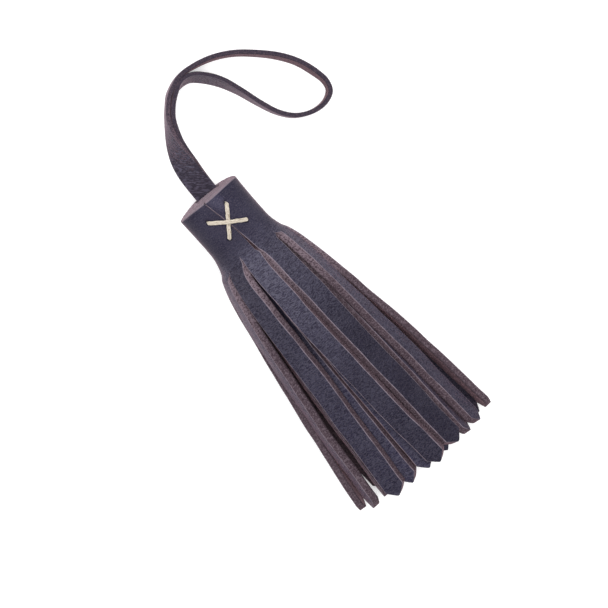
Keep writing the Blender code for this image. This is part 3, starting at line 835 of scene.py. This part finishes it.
def leather_material(name, colours, navy, edges, creased=False):
    """Grain, cut edge, flesh and rolled end of one leather, told apart by skin, laid out by place."""
    g = Graph(name)
    place = g.attribute("place", "Vector")
    skin = g.attribute("skin", "Fac")
    broad = g.noise(place, 90.0, detail=2.0)
    fine = g.noise(place, 2600.0, detail=4.0, roughness=0.7)
    ragged = skin + (fine - 0.5) * 0.4
    rolled_end = g.range(ragged, 1.3, 1.6)
    grain_side = g.range(ragged, 0.35, 0.75) * (1.0 - rolled_end)
    flesh_side = g.range(ragged, -0.35, -0.75)
    patchy = g.range(g.noise(place, 420.0), 0.3, 0.6, 0.35)
    # A light line along each grain-side arris and round the rolled end's rim: partly paler worn leather,
    # partly painted highlight where the rounded corner catches the light.
    arris = g.range(ragged, 0.05, 0.4) * g.range(skin, 1.0, 0.75) * patchy
    rim = g.range(ragged, 0.98, 1.2) * g.range(skin, 2.0, 1.6)

    swirl = g.node("ShaderNodeTexNoise", None, {"Vector": place, "Scale": 330.0, "Detail": 2.0},
                   output=1)
    warped = g.node("ShaderNodeVectorMath", {"operation": "MULTIPLY_ADD"},
                    {0: swirl, 1: (0.0012, 0.0012, 0.0), 2: g.stretched(place, (0.36, 1.0, 1.0))})
    hollows = g.lines(warped, 2150.0)
    elsewhere = g.node("ShaderNodeVectorMath", {"operation": "ADD"}, {0: warped, 1: (0.5, 0.3, 0.2)})
    crests = 1.0 - g.lines(elsewhere, 1950.0)
    pebble = g.noise(warped, 3000.0, detail=2.0, roughness=0.6)
    grain_height = hollows * 0.6 + crests * 0.5 + pebble * 0.3
    fibre = g.noise(g.stretched(place, (1.0, 0.7, 1.0)), 3600.0, detail=3.0, roughness=0.75)
    lumps = g.noise(place, 1900.0, detail=3.0, roughness=0.7)

    along = g.split(place, 1)
    on_strips = g.range(along, 0.012, 0.024, 0.35, 1.0)
    # Painted highlight: the grain is made paler from about 12 to 75 mm from the end, most near 24 mm,
    # where the strips' upper halves face the light.
    worn = g.range(along, 0.075, 0.024) * g.range(along, 0.012, 0.024, 0.25, 1.0)
    # The tone: the dye's own unevenness, plus painted shade on strips that lie deep among the others and
    # the painted highlight on the head's fold.
    tone = g.attribute("tone", "Fac")
    grain = g.mix(tone + 0.5 * (broad - 0.5), shade(navy, 0.62), shade(navy, 1.38))
    # Paler grain: that painted highlight, raised by the tone, plus broad random patches.
    paler = worn * (0.05 + 0.3 * tone) + 0.1 * g.range(broad, 0.4, 0.7)
    grain = g.mix(paler, grain, colours["grain_worn"])
    # Painted shade: the grain's hollows on the strips are darkened.
    grain = g.mix((1.0 - hollows) * on_strips * 0.6, grain, shade(navy, 0.35))
    # The grain's crests are made paler: partly rubbed wear, partly painted highlight, strongest within
    # the painted highlight band.
    crest_wear_and_highlight = 0.24 + 0.24 * tone + 0.5 * (worn * tone)
    grain = g.mix(crests * on_strips * crest_wear_and_highlight, grain, colours["grain_worn"])
    edge = g.mix(g.range(fibre, 0.4, 0.62), edges[0], edges[1])
    edge = g.mix(g.range(lumps, 0.48, 0.64) * 0.8, edge, edges[2])
    # Painted light: the cut edges' lumps are made paler from about 26 to 50 mm from the end, where the
    # slits' walls lie in their neighbours' shade.
    painted_wall_light = g.range(along, 0.05, 0.026) * g.range(lumps, 0.4, 0.56) * 0.75
    edge = g.mix(painted_wall_light, edge, shade(edges[2], 1.45))
    inward = g.split(place, 2)
    edge = g.mix(g.range(inward, -0.0005, -0.00105) * 0.5, edge, shade(edges[0], 0.35))
    flesh = g.mix(g.range(lumps, 0.35, 0.65), colours["edge_dark"], colours["flesh"])
    end = g.mix(g.range(lumps, 0.35, 0.62), colours["edge_light"], colours["rolled_end"])
    base = g.mix(grain_side, g.mix(flesh_side, g.mix(rolled_end, edge, end), flesh), grain)
    # Painted shade: cut edges, flesh side and the wound inside are darkened nearly to black up to about
    # 18.5 to 21.5 mm from the end, deep in the slits.
    painted_gap_shade = g.range(along, 0.0215, 0.0185) * (1.0 - grain_side) * (1.0 - rolled_end)
    base = g.mix(painted_gap_shade * 0.85, base, shade(colours["edge_dark"], 0.25))
    # Lays the arris colour on those lines: worn leather with painted highlight.
    base = g.mix(arris * 0.75 + rim * 0.5, base, edges[3])

    rough = (fibre * 0.4 + lumps * 0.9) * (1.0 - grain_side)
    height = grain_height * 0.4 * on_strips * grain_side + rough
    if creased:
        slanted = g.node("ShaderNodeVectorRotate", {"rotation_type": "Z_AXIS"},
                         {"Vector": place, "Angle": 0.7})
        creases = g.lines(g.stretched(slanted, (0.22, 1.0, 1.0)), 1700.0)
        near_head = g.range(along, 0.036, 0.02) * grain_side
        height = height + 1.5 * (creases * near_head)
        # Painted shade along the strap's creases near the head.
        base = g.mix((1.0 - creases) * near_head * 0.7, base, shade(navy, 0.35))
    bump = g.node("ShaderNodeBump", None, {"Strength": 0.85, "Distance": 0.00022, "Height": height})
    g.set_surface(base_color=base, roughness=0.9 - 0.38 * grain_side + 0.12 * (broad - 0.5),
                  normal=bump, ior=1.45, specular_ior_level=0.035, sheen_weight=0.3,
                  sheen_roughness=0.28, sheen_tint=(0.78, 0.46, 0.54))
    return g.material


def thread_material(colours):
    """Waxed, slightly soiled linen thread."""
    g = Graph("waxed_thread")
    place = g.attribute("place", "Vector")
    fibres = g.noise(g.stretched(place, (1.0, 0.16, 1.0)), 5200.0, detail=4.0, roughness=0.7)
    soil = g.noise(place, 650.0, detail=3.0, roughness=0.6)
    base = g.mix(g.range(fibres, 0.35, 0.65), colours["thread_dark"], colours["thread"])
    base = g.mix(g.range(soil, 0.56, 0.7) * 0.75, base, colours["thread_soil"])
    bump = g.node("ShaderNodeBump", None, {"Strength": 0.6, "Distance": 0.0001, "Height": fibres})
    g.set_surface(base_color=base, roughness=0.7 + 0.2 * (fibres - 0.5), normal=bump, ior=1.45)
    return g.material


def table_material(colour, glow):
    """Plain pale matt table top, faintly lit from below."""
    g = Graph("pale_table")
    place = g.node("ShaderNodeTexCoord", output="Object")
    speck = g.noise(place, 60.0, detail=2.0)
    g.set_surface(base_color=g.mix(speck, colour, shade(colour, 0.985)), roughness=0.9,
                  emission_color=(1.0, 1.0, 1.0), emission_strength=glow)
    return g.material


def colour_property(name, description, default):
    """A colour that the panel shows as a swatch."""
    return bpy.props.FloatVectorProperty(name=name, description=description, subtype="COLOR",
                                         size=3, min=0.0, max=1.0, default=default)


def length_property(name, description, default):
    """A length that the panel shows in the scene's unit."""
    return bpy.props.FloatProperty(name=name, description=description, default=default, unit="LENGTH")


class TasselSizes(bpy.types.PropertyGroup):
    leather: length_property("Leather", "Thickness of the rolled sheet", 2.3 * MM)
    arris: length_property("Arris", "Radius that each cut edge is worn to", 0.22 * MM)
    cupping: length_property("Cupping", "How far a strip's sides curl under its middle", 0.14 * MM)
    thread: length_property("Thread", "Width of the stitch's thread", 1.25 * MM)


class TasselColours(bpy.types.PropertyGroup):
    navy: colour_property("Grain", "The sheet's dyed grain side", (0.0198, 0.0178, 0.0355))
    # The paler grain colour: used on rubbed crests and as painted highlight where the strips' upper
    # halves face the light.
    grain_worn: colour_property("Worn grain", "Raised and worn grain", (0.092, 0.088, 0.122))
    strap_navy: colour_property("Strap grain", "The strap's dyed grain side", (0.046, 0.0375, 0.057))
    edge: colour_property("Cut edge", "Bare cut edges", (0.079, 0.055, 0.067))
    edge_dark: colour_property("Cut edge shade", "Hollows of the cut edges", (0.037, 0.025, 0.0325))
    edge_light: colour_property("Cut edge fibre", "Raised fibres of cut edges", (0.135, 0.103, 0.121))
    rolled_end: colour_property("Rolled end", "The pale face of the rolled end", (0.186, 0.163, 0.19))
    flesh: colour_property("Flesh side", "The sheet's rough side", (0.098, 0.068, 0.077))
    # The arris colour: worn leather along each cut, with painted highlight where the rounded corner
    # catches the light.
    arris: colour_property("Arris", "The worn line along each cut", (0.23, 0.19, 0.225))
    # The strap's arris colour: painted highlight along the corners of its dyed edges.
    strap_arris: colour_property("Strap arris", "The line along the strap's edges", (0.14, 0.12, 0.145))
    strap_edge: colour_property("Strap edge", "The strap's dyed edges", (0.044, 0.036, 0.052))
    strap_edge_dark: colour_property("Strap edge shade", "Hollows of dyed edges", (0.024, 0.0195, 0.029))
    thread: colour_property("Thread", "Waxed thread", (0.6, 0.545, 0.46))
    thread_dark: colour_property("Thread shade", "Between the thread's fibres", (0.33, 0.275, 0.215))
    thread_soil: colour_property("Thread soil", "Dull marks on the thread", (0.2, 0.145, 0.095))
    table: colour_property("Table", "The pale table top", (0.93, 0.93, 0.93))


class TasselStage(bpy.types.PropertyGroup):
    overhead: bpy.props.FloatProperty(
        name="Overhead light", description="Power of the soft light above", default=7.0, unit="POWER")
    side: bpy.props.FloatProperty(
        name="Side light", description="Power of the soft light at the head", default=1.2, unit="POWER")
    surround: bpy.props.FloatProperty(
        name="Surround", description="Strength of the white surround", default=0.6, min=0.0)
    table_glow: bpy.props.FloatProperty(
        name="Table glow", description="How strongly the table top glows", default=0.3, min=0.0)


def colour_table(colours):
    """The chosen colours as plain tuples by name."""
    return {name: tuple(getattr(colours, name)) for name in TasselColours.__annotations__}


class TASSEL_OT_roll_leather(bpy.types.Operator):
    """Rolls the fringed sheet: the end, the head and every strip."""

    bl_idname = "tassel.roll_leather"
    bl_label = "Roll Leather"

    def execute(self, context):
        sizes = context.scene.tassel_sizes
        colours = colour_table(context.scene.tassel_colours)
        pelt = Pelt()
        bare = [colours[c] for c in ("edge_dark", "edge", "edge_light", "arris")]
        roll_outer_wrap(pelt, sizes)
        hang_inner_strips(pelt, sizes)
        fill_roll(pelt)
        material = leather_material("navy_leather", colours, colours["navy"], bare)
        obj = pelt.object("fringed_roll", material, 2e-6)
        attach(obj, "root")
        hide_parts("rolled_leather")
        return {"FINISHED"}


class TASSEL_OT_fold_strap(bpy.types.Operator):
    """Folds the strap into its loop."""

    bl_idname = "tassel.fold_strap"
    bl_label = "Fold Strap"

    def execute(self, context):
        colours = colour_table(context.scene.tassel_colours)
        pelt = Pelt()
        fold_strap(pelt, context.scene.tassel_sizes)
        dyed = [colours[c] for c in ("strap_edge_dark", "strap_edge", "edge", "strap_arris")]
        material = leather_material("strap_leather", colours, colours["strap_navy"], dyed, creased=True)
        obj = pelt.object("folded_strap", material, 1e-7)
        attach(obj, "root")
        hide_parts("strap_loop")
        return {"FINISHED"}


class TASSEL_OT_sew_stitch(bpy.types.Operator):
    """Sews the cross stitch over the seam."""

    bl_idname = "tassel.sew_stitch"
    bl_label = "Sew Cross Stitch"

    def execute(self, context):
        pelt = Pelt()
        sew_cross_stitch(pelt, context.scene.tassel_sizes)
        material = thread_material(colour_table(context.scene.tassel_colours))
        obj = pelt.object("stitch_thread", material, 1e-7)
        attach(obj, "root")
        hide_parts("cross_stitch")
        return {"FINISHED"}


def soft_light(name, power, size, place, aim):
    """A square soft light at a place, turned to its aim."""
    data = bpy.data.lights.new(name, "AREA")
    data.energy = power
    data.shape = "SQUARE"
    data.size = size
    light = bpy.data.objects.new(name, data)
    light.location = place
    light.rotation_euler = (Vector(aim) - Vector(place)).to_track_quat("-Z", "Y").to_euler()
    bpy.context.scene.collection.objects.link(light)


def set_camera():
    """The camera above the tassel, its picture turned as in the photograph."""
    back = Vector((0.0, math.sin(CAMERA_TILT), math.cos(CAMERA_TILT)))
    level = Vector((0.0, math.cos(CAMERA_TILT), -math.sin(CAMERA_TILT)))
    sideways = Vector((1.0, 0.0, 0.0))
    right = sideways * math.cos(CAMERA_TURN) - level * math.sin(CAMERA_TURN)
    up = sideways * math.sin(CAMERA_TURN) + level * math.cos(CAMERA_TURN)
    data = bpy.data.cameras.new("camera")
    data.sensor_width = 36.0
    data.lens = CAMERA_LENS
    data.clip_start = 0.05
    data.clip_end = 20.0
    camera = bpy.data.objects.new("camera", data)
    axes = Matrix((right, up, back)).transposed().to_4x4()
    camera.matrix_world = Matrix.Translation(HEAD_END + CAMERA_TARGET + back * CAMERA_DISTANCE) @ axes
    bpy.context.scene.collection.objects.link(camera)
    bpy.context.scene.camera = camera


class TASSEL_OT_set_stage(bpy.types.Operator):
    """Lays the table top and sets the soft lights and the camera."""

    bl_idname = "tassel.set_stage"
    bl_label = "Set Stage"

    def execute(self, context):
        stage = context.scene.tassel_stage
        mesh = bpy.data.meshes.new("table_top")
        corners = [(-1, -1), (1, -1), (1, 1), (-1, 1)]
        mesh.from_pydata([(x * TABLE_HALF, y * TABLE_HALF, 0) for x, y in corners], [], [(0, 1, 2, 3)])
        colour = tuple(context.scene.tassel_colours.table)
        mesh.materials.append(table_material(colour, stage.table_glow))
        table = bpy.data.objects.new("table_top", mesh)
        table.location = (0.0, 0.0, -TABLE_DROP)
        context.scene.collection.objects.link(table)
        soft_light("overhead_light", stage.overhead, *OVERHEAD_LIGHT)
        soft_light("side_light", stage.side, *SIDE_LIGHT)
        world = bpy.data.worlds.new("white_surround")
        world.use_nodes = True
        background = world.node_tree.nodes["Background"].inputs
        background["Color"].default_value = (1.0, 1.0, 1.0, 1.0)
        background["Strength"].default_value = stage.surround
        context.scene.world = world
        context.scene.view_settings.view_transform = "Standard"
        set_camera()
        return {"FINISHED"}


class TASSEL_PT_panel(bpy.types.Panel):
    """Lists the tassel's pieces, sizes and colours."""

    bl_idname = "TASSEL_PT_panel"
    bl_label = "Leather Tassel"
    bl_space_type = "VIEW_3D"
    bl_region_type = "UI"
    bl_category = "Tassel"

    def draw(self, context):
        column = self.layout.column()
        for operator in OPERATORS:
            column.operator(operator.bl_idname)
        for group_name, group in GROUPS.items():
            holder = getattr(context.scene, group_name)
            for name in group.__annotations__:
                column.prop(holder, name)


GROUPS = {"tassel_sizes": TasselSizes, "tassel_colours": TasselColours, "tassel_stage": TasselStage}
OPERATORS = (TASSEL_OT_roll_leather, TASSEL_OT_fold_strap, TASSEL_OT_sew_stitch, TASSEL_OT_set_stage)
CLASSES = (*GROUPS.values(), *OPERATORS, TASSEL_PT_panel)


def register():
    for cls in CLASSES:
        bpy.utils.register_class(cls)
    for name, group in GROUPS.items():
        setattr(bpy.types.Scene, name, bpy.props.PointerProperty(type=group))


def unregister():
    for name in GROUPS:
        delattr(bpy.types.Scene, name)
    for cls in reversed(CLASSES):
        bpy.utils.unregister_class(cls)


def main():
    register()
    bpy.ops.tassel.roll_leather()
    bpy.ops.tassel.fold_strap()
    bpy.ops.tassel.sew_stitch()
    bpy.ops.tassel.set_stage()


if __name__ == "__main__":
    main()
